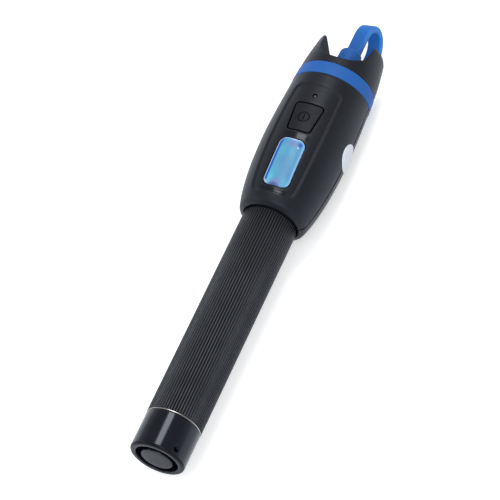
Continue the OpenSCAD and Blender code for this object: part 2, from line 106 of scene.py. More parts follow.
# badge, its seat and the round label
BADGE_Z = 111.7
BADGE_END = 131.75
BADGE_HALF = 5.0
BADGE_CORNER = 2.6
SEAT_SHAPE = (5.42, 5.42, 3.0)
SEAT_GAP = 0.42
SEAT_HEIGHT = 13.3
LABEL_AT = 139.5
LABEL_RADIUS = 5.45
LABEL_THICKNESS = 0.13

# ribs of the tube
RIBS = 64
RIB_Z = 15.25
RIB_END = 103.8
RIB_ROOT = 10.12
RIB_CREST = 10.5

# ring, crown and strap
RING_Z = 163.2
RING_END = 168.9
HEAD_END = 185.2
FORK_SIDE = 0.7
NOTCH_Z, NOTCH_END = 168, 174.2
NOTCH_SHAPE = (3.25, 3.25, 0.3)
NOTCH_FLOOR = 12.45
FAR = 30  # reach of tools that cut right through the crown
STRAP_Z = 184.6
STRAP_TURN = 12.0  # degrees that the strap leans from straight down
STRAP_SIDE = -0.3  # how far it is to the side, before that turn

# colours of the badge's film, and of the highlights painted on it: a pale rim, a white rim and glints
SKY, TEAL, PALE_RIM_HIGHLIGHT = (0.09, 0.25, 0.44, 1), (0.092, 0.355, 0.5, 1), (0.17, 0.45, 0.72, 1)
VIOLET, DUSK = (0.21, 0.17, 0.43, 1), (0.05, 0.035, 0.22, 1)
DEEP, WHITE_RIM_HIGHLIGHT = (0.012, 0.06, 0.4, 1), (0.46, 0.48, 0.68, 1)
CYAN, GLINT_HIGHLIGHT = (0.13, 0.5, 0.66, 1), (0.6, 0.62, 0.8, 1)
# its soft spots: along and to the left from the badge's middle, half length, half width, amount and colour
# the spots in the glint and white rim colours are painted highlights
FILM_SPOTS = ((-7.6, 3.0, 2.8, 1.9, 0.55, CYAN), (-8.0, -3.1, 2.4, 1.7, 0.3, CYAN),
              (2.0, -2.6, 3.2, 1.2, 0.35, TEAL), (4.8, -1.4, 3.4, 1.3, 0.6, TEAL),
              (8.0, -0.6, 2.2, 2.6, 0.45, VIOLET), (-8.9, 0.3, 2.0, 2.6, 0.6, VIOLET),
              (8.1, -3.2, 1.5, 1.1, 0.95, DEEP), (6.7, -2.9, 0.7, 0.5, 0.55, GLINT_HIGHLIGHT),
              (-9.7, 0.4, 0.9, 2.4, 0.9, DUSK), (-9.2, 3.9, 1.0, 1.0, 0.7, WHITE_RIM_HIGHLIGHT),
              (9.7, -0.4, 0.6, 1.7, 0.8, GLINT_HIGHLIGHT))

# other finishes, and the painted highlights on the ribs' crests and on the strap
TINT = (0.84, 0.91, 1.0, 1)  # cool gloss of the black plastics
DUST_GREY = (0.22, 0.22, 0.23, 1)
# painted highlight on the ribs' crests
CREST_HIGHLIGHT_GREY = (0.058, 0.06, 0.066, 1)
# painted highlights on the strap's arch and along its edges
ARCH_HIGHLIGHT_BLUE = (0.016, 0.15, 0.52, 1)
EDGE_HIGHLIGHT_BLUE = (0.035, 0.215, 0.6, 1)
LAND_GLOSS = (0.16, 0.16, 0.16, 1)


# places and curves
def slope(a, b, i):
    """Slope of a share curve at one of its points."""
    low, high = max(i - 1, 0), min(i + 1, len(a) - 1)
    return (b[high] - b[low]) / (a[high] - a[low])


def curve(a, b, share):
    """Smooth curve through the shares a -> b."""
    i = max(k for k in range(len(a) - 1) if share >= a[k] or k == 0)
    width = a[i + 1] - a[i]
    t = (share - a[i]) / width
    return ((2 * t**3 - 3 * t * t + 1) * b[i] + (t**3 - 2 * t * t + t) * width * slope(a, b, i)
            + (3 * t * t - 2 * t**3) * b[i + 1] + (t**3 - t * t) * width * slope(a, b, i + 1))


def head_radius(along):
    """Radius of the head at a place along the pen."""
    share = min(1.0, max(0.0, (along - HEAD_Z) / HEAD_LENGTH))
    return HEAD_D * curve(HEAD_ALONG_SHARES, HEAD_RADIUS_SHARES, share)


def place(along, turn, radius):
    """A point in the frame, in metres."""
    a = math.radians(turn)
    return Vector(((along - MIDDLE) * MM, -radius * math.sin(a) * MM, (AXIS + radius * math.cos(a)) * MM))


def facing(along, side, height):
    """A point seen from the button side: along the pen, to its side, and over the axis."""
    return Vector(((along - MIDDLE) * MM, -side * MM, (AXIS + height) * MM))


def about_axis(degrees):
    """A turn about the pen's axis."""
    return (Matrix.Translation((0, 0, AXIS * MM)) @ Matrix.Rotation(math.radians(degrees), 4, "X")
            @ Matrix.Translation((0, 0, -AXIS * MM)))


def steps(start, end, step):
    """Even places from start to just before end, about a step apart."""
    count = max(1, round((end - start) / step))
    return [start + (end - start) * k / count for k in range(count)]


def evenly(start, step, count):
    """A count of places, a step apart."""
    return [start + step * k for k in range(count)]


def arc(a, b, radius, start, end, count):
    """Points (a, b) on an arc, from one angle to another."""
    angles = [math.radians(start + (end - start) * i / count) for i in range(count + 1)]
    return [(a + radius * math.cos(angle), b + radius * math.sin(angle)) for angle in angles]


def disc(along, side, radius):
    """Outline of a circle."""
    return arc(along, side, radius, 0, 345, 23)


def keystone(start, end, half_start, half_end, corner, count=8):
    """Outline of a trapezium with round corners."""
    run, lean = end - start, half_end - half_start
    tilt = math.degrees(math.atan2(lean, run))
    up = math.cos(math.radians(tilt))
    low_side = half_start + lean * corner / run - corner / up
    high_side = half_end - lean * corner / run - corner / up
    upper = (arc(start + corner, low_side, corner, 180, 90 + tilt, count)
             + arc(end - corner, high_side, corner, 90 + tilt, 0, count))
    return upper + [(z, -y) for z, y in reversed(upper)]


# modelling helpers
def only(piece):
    """Selects one object alone and makes it active."""
    bpy.ops.object.select_all(action="DESELECT")
    piece.select_set(True)
    bpy.context.view_layer.objects.active = piece


def added(name, primitive, **values):
    """Adds a primitive under a name, with nothing else selected."""
    bpy.ops.object.select_all(action="DESELECT")
    primitive(**values)
    piece = bpy.context.object
    piece.name = piece.data.name = name
    return piece


def open_mesh(piece):
    """Opens a piece in edit mode with what is chosen in it."""
    only(piece)
    bpy.ops.object.mode_set(mode="EDIT")


def editing(piece, action="SELECT"):
    """Opens a piece in edit mode with all of its vertices selected, or none."""
    open_mesh(piece)
    bpy.ops.mesh.select_mode(type="VERT")
    bpy.ops.mesh.select_all(action=action)


def done():
    """Leaves edit mode."""
    bpy.ops.object.mode_set(mode="OBJECT")


def choose_nothing(piece):
    """Deselects a piece's whole mesh, before some of it is selected in code."""
    editing(piece, "DESELECT")
    done()


def settle(piece):
    """Puts an object's place into its mesh."""
    only(piece)
    bpy.ops.object.transform_apply(location=True, rotation=True, scale=True)


def outward(piece, merge=0.002):
    """Merges doubles and turns the faces outwards."""
    editing(piece)
    bpy.ops.mesh.remove_doubles(threshold=merge * MM)
    bpy.ops.mesh.normals_make_consistent(inside=False)
    done()


def smooth(piece, angle):
    """Shades a piece smooth, but for edges sharper than an angle."""
    only(piece)
    bpy.ops.object.shade_smooth_by_angle(angle=math.radians(angle), keep_sharp_edges=False)


def modify(piece, kind, **values):
    """Adds a modifier with these values and applies it."""
    only(piece)
    modifier = piece.modifiers.new(kind.title(), kind)
    for key, value in values.items():
        setattr(modifier, key, value)
    bpy.ops.object.modifier_apply(modifier=modifier.name)


def cut(piece, *tools):
    """Cuts closed tool pieces out of a piece, and deletes them."""
    for tool in tools:
        modify(piece, "BOOLEAN", object=tool, operation="DIFFERENCE", solver="EXACT",
               material_mode="TRANSFER" if piece.data.materials else "INDEX")
        bpy.data.objects.remove(tool)


def join(piece, *parts):
    """Makes closed parts one solid with a piece."""
    for part in parts:
        modify(piece, "BOOLEAN", object=part, operation="UNION", solver="EXACT")
        bpy.data.objects.remove(part)


def sharp_bevel(piece, width, angle=40, segments=2):
    """Rounds the sharp edges of a piece."""
    modify(piece, "BEVEL", width=width * MM, segments=segments, limit_method="ANGLE",
           angle_limit=math.radians(angle), use_clamp_overlap=True, miter_outer="MITER_ARC")


def even_normals(piece):
    """Lets the large faces set the shading of the small ones beside them."""
    modify(piece, "WEIGHTED_NORMAL", keep_sharp=True, weight=60)


def edge_chain(name, points):
    """A chain of edges through points, left in edit mode with all of it selected."""
    piece = added(name, bpy.ops.mesh.primitive_plane_add, size=MM, location=(0, 0, 0))
    bpy.ops.object.mode_set(mode="EDIT")
    bpy.ops.mesh.select_all(action="SELECT")
    bpy.ops.mesh.merge(type="CENTER")
    bpy.ops.transform.translate(value=points[0])
    for a, b in zip(points, points[1:]):
        bpy.ops.mesh.extrude_vertices_move(TRANSFORM_OT_translate={"value": b - a})
    bpy.ops.mesh.select_all(action="SELECT")
    return piece


def turned(name, profile, start=0.0, sweeps=((180, 360.0),)):
    """A profile of (along, radius) turned about the pen's axis, in one or more sweeps of (steps, degrees)."""
    piece = edge_chain(name, [place(z, start, radius) for z, radius in profile])
    for count, degrees in sweeps:
        bpy.ops.mesh.spin(steps=count, angle=-math.radians(degrees), center=(0, 0, AXIS * MM), axis=(1, 0, 0))
    done()
    outward(piece)
    return piece


def prism(name, outline, low, high, side=0.0):
    """An outline of (along, side) seen from the button side, filled and pulled out from low to high."""
    piece = added(name, bpy.ops.mesh.primitive_circle_add, vertices=len(outline), radius=MM, fill_type="NGON")
    for vertex, (z, y) in zip(piece.data.vertices, outline):
        vertex.co = facing(z, y + side, low)
    editing(piece)
    bpy.ops.mesh.extrude_region_move(TRANSFORM_OT_translate={"value": (0, 0, (high - low) * MM)})
    done()
    outward(piece, 0.0001)
    return piece


def drape(piece, above, under, dome=0.0, half=1.0):
    """Moves the vertices above a height onto the head's surface, some way under it."""
    for vertex in piece.data.vertices:
        if vertex.co.z > (AXIS + above) * MM:
            along, y = vertex.co.x / MM + MIDDLE, vertex.co.y / MM
            radius = head_radius(along) - under + dome * (1 - min(1.0, (y / half) ** 2))
            vertex.co.z = (AXIS + math.sqrt(max(radius * radius - y * y, 1.0))) * MM


def slice_lengthwise(piece, places):
    """Cuts a piece's faces along lines parallel to the pen."""
    for y in places:
        editing(piece)
        bpy.ops.mesh.bisect(plane_co=(0, y * MM, 0), plane_no=(0, 1, 0))
        done()


def slice_across(piece, places):
    """Cuts a piece's faces across the pen."""
    for z in places:
        editing(piece)
        bpy.ops.mesh.bisect(plane_co=((z - MIDDLE) * MM, 0, 0), plane_no=(1, 0, 0))
        done()


# shader helpers
VECTOR, NUMBER, COLOUR = "NodeSocketVector", "NodeSocketFloat", "NodeSocketColor"
POSITION = ("Position", VECTOR, None)


def new_group(name, inputs, outputs):
    """A node group with (name, type, value) inputs and (name, type) outputs."""
    tree = bpy.data.node_groups.new(name, "ShaderNodeTree")
    for label, kind, value in inputs:
        socket = tree.interface.new_socket(label, in_out="INPUT", socket_type=kind)
        if value is not None:
            socket.default_value = value
    for label, kind in outputs:
        tree.interface.new_socket(label, in_out="OUTPUT", socket_type=kind)
    return tree, tree.nodes.new("NodeGroupInput").outputs, tree.nodes.new("NodeGroupOutput").inputs


def feed(tree, value, socket):
    """Links a value to a socket, or writes it there if it is a plain number or colour."""
    if isinstance(value, (int, float, tuple)):
        socket.default_value = value
    else:
        tree.links.new(value, socket)


def math_node(tree, operation, a, b=0.0):
    """A Math node on one or two values."""
    node = tree.nodes.new("ShaderNodeMath")
    node.operation = operation
    feed(tree, a, node.inputs[0])
    feed(tree, b, node.inputs[1])
    return node.outputs[0]


def times(tree, product, *factors):
    """Values multiplied with each other."""
    for factor in factors:
        product = math_node(tree, "MULTIPLY", product, factor)
    return product


def sum_of_squares(tree, a, b):
    """The squares of two values, added up."""
    return math_node(tree, "ADD", times(tree, a, a), times(tree, b, b))


def mix_colour(tree, factor, a, b):
    """Colour a where the factor is 0, and colour b where it is 1."""
    node = tree.nodes.new("ShaderNodeMix")
    node.data_type = "RGBA"
    for index, value in ((0, factor), (6, a), (7, b)):
        feed(tree, value, node.inputs[index])
    return node.outputs[2]


def noise(tree, vector, scale, detail=2.0, rough=0.5):
    """Soft noise, mostly between 0.3 and 0.7."""
    node = tree.nodes.new("ShaderNodeTexNoise")
    node.inputs["Detail"].default_value = detail
    node.inputs["Roughness"].default_value = rough
    feed(tree, scale, node.inputs["Scale"])
    tree.links.new(vector, node.inputs["Vector"])
    return node.outputs["Fac"]


def span(tree, value, from_low, from_high, to_low, to_high):
    """A value stretched from one range onto another, and held at the ends."""
    node = tree.nodes.new("ShaderNodeMapRange")
    for index, limit in enumerate((from_low, from_high, to_low, to_high)):
        node.inputs[index + 1].default_value = limit
    tree.links.new(value, node.inputs[0])
    return node.outputs[0]


def ramp(tree, value, start, end, low=0.0, high=1.0):
    """A ramp from low at one place to high at another, both in millimetres."""
    return span(tree, value, start * MM, end * MM, low, high)


def split(tree, vector):
    """The X, Y and Z of a vector."""
    node = tree.nodes.new("ShaderNodeSeparateXYZ")
    tree.links.new(vector, node.inputs[0])
    return node.outputs


def from_axis(tree, position):
    """A point's place along the pen, and its distance from the pen's axis."""
    x, y, z = split(tree, position)
    height = math_node(tree, "SUBTRACT", z, AXIS * MM)
    return x, math_node(tree, "SQRT", sum_of_squares(tree, height, y))


# shader groups
def moulded_grain():
    """Fine spark-eroded grain of a moulded surface, with slow changes of gloss."""
    tree, given, result = new_group("moulded_grain",
                                    [POSITION, ("Grain Scale", NUMBER, 3500.0), ("Gloss", NUMBER, 0.45),
                                     ("Gloss Change", NUMBER, 0.06)],
                                    [("Height", NUMBER), ("Roughness", NUMBER), ("Tone", NUMBER)])
    position, grain = given["Position"], given["Grain Scale"]
    fine = noise(tree, position, grain, 3.0, 0.6)
    coarse = noise(tree, position, times(tree, grain, 0.31), 1.0)
    tree.links.new(math_node(tree, "ADD", fine, times(tree, coarse, 0.5)), result["Height"])
    slow = math_node(tree, "SUBTRACT", noise(tree, position, 90.0, 3.0), 0.5)
    change = times(tree, slow, given["Gloss Change"])
    tree.links.new(math_node(tree, "ADD", given["Gloss"], change), result["Roughness"])
    tree.links.new(span(tree, noise(tree, position, 55.0), 0.3, 0.7, 0.0, 1.0), result["Tone"])
    return tree


def fine_dust():
    """Sparse specks that sit on a surface, as a mask."""
    tree, given, result = new_group("fine_dust", [POSITION, ("Amount", NUMBER, 0.3)], [("Mask", NUMBER)])
    cells = tree.nodes.new("ShaderNodeTexVoronoi")
    cells.inputs["Scale"].default_value = 900.0
    tree.links.new(given["Position"], cells.inputs["Vector"])
    speck = span(tree, cells.outputs["Distance"], 0.0, 0.16, 1.0, 0.0)
    field = span(tree, noise(tree, given["Position"], 120.0), 0.5, 0.75, 0.0, 1.0)
    tree.links.new(times(tree, speck, field, given["Amount"]), result["Mask"])
    return tree


def turning_marks():
    """Fine rings round the pen's axis, as a lathe leaves them."""
    tree, given, result = new_group("turning_marks", [POSITION, ("Ring Scale", NUMBER, 9000.0)],
                                    [("Height", NUMBER)])
    x, radius = from_axis(tree, given["Position"])
    flat = tree.nodes.new("ShaderNodeCombineXYZ")
    tree.links.new(x, flat.inputs["X"])
    tree.links.new(radius, flat.inputs["Y"])
    tree.links.new(noise(tree, flat.outputs[0], given["Ring Scale"]), result["Height"])
    return tree


def rib_crest_highlight():
    """Painted highlight on the crests of the grip's ribs, in patches, as a mask."""
    tree, given, result = new_group("rib_crest_highlight", [POSITION, ("Amount", NUMBER, 1.0)], [("Mask", NUMBER)])
    radius = from_axis(tree, given["Position"])[1]
    crest = ramp(tree, radius, RIB_CREST - 0.045, RIB_CREST - 0.005)
    highlight_share = span(tree, noise(tree, given["Position"], 140.0, 3.0), 0.25, 0.6, 0.45, 1.0)
    tree.links.new(times(tree, crest, highlight_share, given["Amount"]), result["Mask"])
    return tree


def glossy_lands():
    """The two smooth lands of the panel, before and behind the badge, as a mask."""
    tree, given, result = new_group("glossy_lands", [POSITION], [("Mask", NUMBER)])
    x, y, z = split(tree, given["Position"])
    wide = ramp(tree, math_node(tree, "ABSOLUTE", y), 4.6, 5.6, 1.0, 0.0)
    top = ramp(tree, z, AXIS + 12, AXIS + 12.5)
    masks = []
    for middle, half in LAND_PLACES:
        off = math_node(tree, "ABSOLUTE", math_node(tree, "SUBTRACT", x, (middle - MIDDLE) * MM))
        masks.append(ramp(tree, off, half - 0.3, half + 0.2, 1.0, 0.0))
    tree.links.new(times(tree, math_node(tree, "MAXIMUM", *masks), wide, top), result["Mask"])
    return tree


def inside_badge(tree, x, y):
    """How far a point lies inside the badge's rounded outline."""
    middle, half = (BADGE_Z + BADGE_END) / 2 - MIDDLE, (BADGE_END - BADGE_Z) / 2
    off = math_node(tree, "ABSOLUTE", math_node(tree, "SUBTRACT", x, middle * MM))
    past_x = math_node(tree, "SUBTRACT", off, (half - BADGE_CORNER) * MM)
    past_y = math_node(tree, "SUBTRACT", math_node(tree, "ABSOLUTE", y), (BADGE_HALF - BADGE_CORNER) * MM)
    far = math_node(tree, "SQRT", sum_of_squares(tree, math_node(tree, "MAXIMUM", past_x),
                                                 math_node(tree, "MAXIMUM", past_y)))
    near = math_node(tree, "MINIMUM", math_node(tree, "MAXIMUM", past_x, past_y))
    return math_node(tree, "SUBTRACT", BADGE_CORNER * MM, math_node(tree, "ADD", far, near))


def spot(tree, x, y, along, left, half_length, half_width, amount):
    """A soft round mask about a place on the badge, in millimetres."""
    a = math_node(tree, "DIVIDE", math_node(tree, "SUBTRACT", x, along * MM), half_length * MM)
    b = math_node(tree, "DIVIDE", math_node(tree, "SUBTRACT", y, left * MM), half_width * MM)
    return span(tree, sum_of_squares(tree, a, b), 0.0, 1.0, amount, 0.0)


def badge_film_and_highlights():
    """Bare iridescent film: sky blue and teal and a deep blue line on one side, with painted highlights: a
    pale rim, a white rim line and glints.
    """
    tree, given, result = new_group("badge_film_and_highlights", [POSITION], [("Colour", COLOUR), ("Height", NUMBER)])
    x, y = split(tree, given["Position"])[:2]
    middle = (BADGE_Z + BADGE_END) / 2 - MIDDLE
    edge = inside_badge(tree, x, y)
    # teal drifts over sky blue, most of it left of the middle
    soft = span(tree, noise(tree, given["Position"], 170.0), 0.38, 0.62, 0.1, 1.0)
    tone = mix_colour(tree, times(tree, ramp(tree, y, -1.0, 3.0, 0.25), soft), SKY, TEAL)
    for along, left, half_length, half_width, amount, colour in FILM_SPOTS:
        mask = spot(tree, x, y, middle + along, left, half_length, half_width, amount)
        tone = mix_colour(tree, mask, tone, colour)
    # painted highlight: a pale rim, widest on the right and faint at the tail's end
    above_end = math_node(tree, "SUBTRACT", 1.0, ramp(tree, x, middle - 8.6, middle - 9.6, 0.0, 0.9))
    pale = times(tree, ramp(tree, edge, 0.95, 0.35), ramp(tree, y, 3.5, -3.5, 0.35, 0.9), above_end)
    tone = mix_colour(tree, pale, tone, PALE_RIM_HIGHLIGHT)
    # deep blue line inside the left edge, with a painted white highlight line outside it
    left_side = times(tree, ramp(tree, y, 3.2, 3.9), ramp(tree, x, middle - 9.2, middle - 7.8))
    deep = times(tree, ramp(tree, edge, 1.45, 1.1), left_side, ramp(tree, edge, 0.38, 0.5), 0.92)
    tone = mix_colour(tree, deep, tone, DEEP)
    # painted highlight: a white line round the whole edge, strongest on the left
    rim = times(tree, ramp(tree, edge, 0.34, 0.2), ramp(tree, y, -4.6, -2.0, 0.35, 0.8), above_end)
    tree.links.new(mix_colour(tree, rim, tone, WHITE_RIM_HIGHLIGHT), result["Colour"])
    tree.links.new(noise(tree, given["Position"], 260.0, 1.0), result["Height"])
    return tree


GRAIN = moulded_grain()
DUST = fine_dust()
RINGS = turning_marks()


# materials
def use_group(tree, group, position, **values):
    """Places a group in a material with values of its own, and gives its outputs."""
    node = tree.nodes.new("ShaderNodeGroup")
    node.node_tree = group
    tree.links.new(position, node.inputs["Position"])
    for label, value in values.items():
        node.inputs[label.replace("_", " ")].default_value = value
    return node.outputs


def new_material(name, colour, roughness, metallic=0.0, specular=0.5, **sockets):
    """A Principled material, its tree, its shader and its Object coordinates."""
    material = bpy.data.materials.new(name)
    material.use_nodes = True
    tree = material.node_tree
    shader = tree.nodes["Principled BSDF"]
    shader.inputs["Base Color"].default_value = (*colour, 1)
    shader.inputs["Roughness"].default_value = roughness
    shader.inputs["Metallic"].default_value = metallic
    shader.inputs["Specular IOR Level"].default_value = specular
    for label, value in sockets.items():
        shader.inputs[label.replace("_", " ")].default_value = value
    return material, tree, shader, tree.nodes.new("ShaderNodeTexCoord").outputs["Object"]


def bump(tree, shader, height, depth):
    """Lets a height between 0 and 1 stand for a depth in millimetres."""
    node = tree.nodes.new("ShaderNodeBump")
    node.inputs["Distance"].default_value = depth * MM
    tree.links.new(height, node.inputs["Height"])
    tree.links.new(node.outputs["Normal"], shader.inputs["Normal"])


def moulded(name, colour, second, gloss, change, grain, depth, specular=0.5, dust=0.0, **sockets):
    """Moulded plastic or rubber: two near tones, grain, changing gloss and a little dust."""
    material, tree, shader, where = new_material(name, colour, gloss, specular=specular, **sockets)
    surface = use_group(tree, GRAIN, where, Grain_Scale=grain, Gloss=gloss, Gloss_Change=change)
    tone = mix_colour(tree, surface["Tone"], (*colour, 1), (*second, 1))
    if dust:
        specks = use_group(tree, DUST, where, Amount=dust)
        tone = mix_colour(tree, specks["Mask"], tone, DUST_GREY)
    tree.links.new(tone, shader.inputs["Base Color"])
    tree.links.new(surface["Roughness"], shader.inputs["Roughness"])
    bump(tree, shader, surface["Height"], depth)
    return material


def turned_metal(name, colour, roughness, rings, depth):
    """Metal with the fine rings of a lathe."""
    material, tree, shader, where = new_material(name, colour, roughness, metallic=1.0)
    height = use_group(tree, RINGS, where, Ring_Scale=rings)["Height"]
    polish = span(tree, height, 0.3, 0.7, roughness * 0.8, roughness * 1.25)
    tree.links.new(polish, shader.inputs["Roughness"])
    bump(tree, shader, height, depth)
    return material


def clear(name, colour, roughness, ior):
    """Clear polished resin."""
    material, tree, shader, where = new_material(name, colour, roughness, Transmission_Weight=1.0, IOR=ior)
    polish = span(tree, noise(tree, where, 2500.0), 0.3, 0.7, roughness * 0.7, roughness * 1.4)
    tree.links.new(polish, shader.inputs["Roughness"])
    return material


def domed_badge():
    """Clear resin dome over the bare film."""
    material, tree, shader, where = new_material("domed_badge_blue", SKY[:3], 0.4, specular=0.16,
                                                 Coat_Weight=0.06, Coat_Roughness=0.1)
    film = use_group(tree, badge_film_and_highlights(), where)
    tree.links.new(film["Colour"], shader.inputs["Base Color"])
    bump(tree, shader, film["Height"], 0.03)
    return material


def finish_of(material):
    """Tree, shader and Object coordinates of a material that is already made."""
    tree = material.node_tree
    return tree, tree.nodes["Principled BSDF"], tree.nodes["Texture Coordinate"].outputs["Object"]


def mix_in(tree, socket, mask, second):
    """Mixes a second colour or value into what a socket already takes."""
    tree.links.new(mix_colour(tree, mask, socket.links[0].from_socket, second), socket)


def polish_lands(material):
    """Makes the two lands beside the badge glossy."""
    tree, shader, where = finish_of(material)
    mix_in(tree, shader.inputs["Roughness"], use_group(tree, glossy_lands(), where)["Mask"], LAND_GLOSS)


def paint_crest_highlights(material):
    """Paints a highlight on the ribs' crests: a paler grey mixed into their colour."""
    tree, shader, where = finish_of(material)
    highlight_share = use_group(tree, rib_crest_highlight(), where, Amount=0.9)["Mask"]
    mix_in(tree, shader.inputs["Base Color"], highlight_share, CREST_HIGHLIGHT_GREY)


def paint_strap_highlights(material):
    """Paints highlights on the strap: a paler blue over its arch and along its edges."""
    tree, shader, where = finish_of(material)
    x, y, z = split(tree, where)
    # painted highlight: paler blue over the arch
    bend = ramp(tree, x, 191.5 - MIDDLE, 199.5 - MIDDLE, 0.0, 0.9)
    mix_in(tree, shader.inputs["Base Color"], bend, ARCH_HIGHLIGHT_BLUE)
    # painted highlight: paler blue along the strap's edges, over the arch
    lean = math.radians(180 - STRAP_TURN)
    height = math_node(tree, "SUBTRACT", z, AXIS * MM)
    across = math_node(tree, "ADD", times(tree, y, -math.cos(lean)), times(tree, height, -math.sin(lean)))
    off = math_node(tree, "ABSOLUTE", math_node(tree, "SUBTRACT", across, STRAP_SIDE * MM))
    edges = times(tree, ramp(tree, off, 2.2, 2.75, 0.0, 0.75), ramp(tree, x, 186.5 - MIDDLE, 192.5 - MIDDLE))
    mix_in(tree, shader.inputs["Base Color"], edges, EDGE_HIGHLIGHT_BLUE)


BODY = moulded("body_black_moulded", (0.0082, 0.0088, 0.0118), (0.011, 0.0116, 0.015), gloss=0.44,
               change=0.08, grain=5200.0, depth=0.006, specular=0.25, dust=0.12, Specular_Tint=TINT)
KEY = moulded("button_black_soft", (0.0075, 0.0078, 0.0102), (0.01, 0.0104, 0.0132), gloss=0.5, change=0.08,
              grain=6500.0, depth=0.006, specular=0.2, dust=0.1, Specular_Tint=TINT)
GLOSS = moulded("cap_black_gloss", (0.0045, 0.005, 0.0075), (0.006, 0.0065, 0.0095), gloss=0.14, change=0.05,
                grain=2500.0, depth=0.001, specular=0.34, Specular_Tint=TINT)
END = moulded("tail_end_satin", (0.004, 0.0044, 0.0056), (0.0055, 0.006, 0.0075), gloss=0.3, change=0.05,
              grain=5000.0, depth=0.002, specular=0.14, Specular_Tint=TINT)
TUBE = moulded("tube_black_grip", (0.0085, 0.009, 0.0108), (0.011, 0.0115, 0.0135), gloss=0.3, change=0.08,
               grain=6000.0, depth=0.003, specular=0.24, Specular_Tint=TINT)
FORK = moulded("crown_cut_matte", (0.006, 0.009, 0.016), (0.018, 0.024, 0.036), gloss=0.6, change=0.2,
               grain=2500.0, depth=0.003, specular=0.14, Specular_Tint=TINT)
BLUE = moulded("tether_blue_satin", (0.015, 0.1, 0.36), (0.019, 0.112, 0.385), gloss=0.55, change=0.08,
               grain=4200.0, depth=0.008, specular=0.2)
# near-black: the power sign's dark inlay, and painted shade on the walls of the button window, badge seat,
# lamp hole and seam groove
DARK_SIGN_AND_GAP_SHADE = moulded("dark_sign_and_painted_gap_shade", (0.0025, 0.0025, 0.003), (0.0035, 0.0035, 0.004), gloss=0.7, change=0.05,
               grain=5000.0, depth=0.003, specular=0.1)
PIPE = moulded("lamp_lens_smoky", (0.03, 0.026, 0.028), (0.035, 0.03, 0.033), gloss=0.12, change=0.02,
               grain=3000.0, depth=0.0005, specular=0.4)
LABEL = moulded("label_pale_film", (0.68, 0.69, 0.71), (0.73, 0.74, 0.76), gloss=0.42, change=0.08,
                grain=3800.0, depth=0.003, specular=0.3)
INNER = moulded("inner_black_moulded", (0.02, 0.02, 0.02), (0.026, 0.026, 0.026), gloss=0.55, change=0.05,
                grain=4000.0, depth=0.006)
# black rubber of the tail seal, also used for the painted shade behind the seam
SEAL_RUBBER_AND_SEAM_SHADE = moulded("seal_rubber_and_seam_shade_black", (0.012, 0.012, 0.012), (0.016, 0.016, 0.016), gloss=0.7, change=0.05,
               grain=4000.0, depth=0.006)
WHITE = moulded("sleeve_white_glazed", (0.82, 0.81, 0.77), (0.85, 0.84, 0.8), gloss=0.15, change=0.03,
                grain=3000.0, depth=0.001)
BOARD = moulded("board_green_mask", (0.01, 0.1, 0.04), (0.014, 0.13, 0.05), gloss=0.3, change=0.06,
                grain=3000.0, depth=0.004)
CELL = moulded("cell_grey_wrapper", (0.3, 0.32, 0.34), (0.34, 0.36, 0.38), gloss=0.3, change=0.05,
               grain=1500.0, depth=0.004)
PLATE = turned_metal("plated_bright_metal", (0.62, 0.62, 0.63), roughness=0.2, rings=9000.0, depth=0.003)
COLLAR = turned_metal("collar_bright_edge", (0.42, 0.4, 0.38), roughness=0.38, rings=9000.0, depth=0.003)
FACE = turned_metal("tail_face_turned", (0.034, 0.035, 0.04), roughness=0.4, rings=7000.0, depth=0.004)
BRASS = turned_metal("brass_turned", (0.7, 0.5, 0.22), roughness=0.25, rings=8000.0, depth=0.004)
ALLOY = turned_metal("alloy_turned", (0.55, 0.55, 0.57), roughness=0.3, rings=7000.0, depth=0.004)
LENS = clear("lens_clear_polished", (0.9, 0.96, 1.0), roughness=0.02, ior=1.52)
DOME = domed_badge()
polish_lands(BODY)
# painted highlight on the ribs' crests
paint_crest_highlights(TUBE)
# painted highlights on the strap
paint_strap_highlights(BLUE)

NODE_MATERIALS = {
    "tail_cap": GLOSS, "tail_seal": SEAL_RUBBER_AND_SEAM_SHADE, "tail_contact": PLATE, "tail_spring": PLATE, "battery_tube": TUBE,
    "battery_rear": CELL, "battery_front": CELL, "contact_carrier": INNER, "front_contact": PLATE,
    "front_shell": BODY, "rear_shell": BODY, "circuit_board": BOARD, "switch_body": INNER,
    "switch_plunger": PLATE, "power_button": KEY, "button_keeper": INNER, "indicator_led": WHITE,
    "light_pipe": LENS, "badge": DOME, "seal_label": LABEL, "optical_block": ALLOY, "laser_module": BRASS,
    "focus_lens": LENS, "port_adapter": PLATE, "ferrule_sleeve": WHITE, "adapter_nut": PLATE,
    "accent_ring": BLUE, "crown": BODY, "cap_strap": BLUE, "dust_cap": BLUE}
for name, material in NODE_MATERIALS.items():
    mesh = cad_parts[name].data
    mesh.materials.clear()
    mesh.materials.append(material)


# finishing helpers
def give(material, *pieces):
    """Gives pieces a material."""
    for piece in pieces:
        piece.data.materials.append(material)


def finish_piece(piece, material, body, slot, *nodes):
    """Gives a piece its material and body, and lets it stand for CAD nodes. The slot is not used."""
    if not piece.data.materials:
        give(material, piece)
    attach(piece, body)
    if nodes:
        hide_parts(*nodes)
    return piece


def second_material(piece, material, chosen):
    """Gives the faces that chosen(face centre in along, side, height) picks a second material."""
    give(material, piece)
    index = len(piece.data.materials) - 1
    for face in piece.data.polygons:
        if chosen(face.center.x / MM + MIDDLE, -face.center.y / MM, face.center.z / MM - AXIS):
            face.material_index = index


# head shells
LIP_ROWS = steps(HEAD_Z, LIP_END, 0.17) + steps(LIP_END, NECK_END, 0.5)


def head_profile(places):
    """Points of (along, radius) on the head's surface."""
    return [(z, head_radius(z)) for z in places]


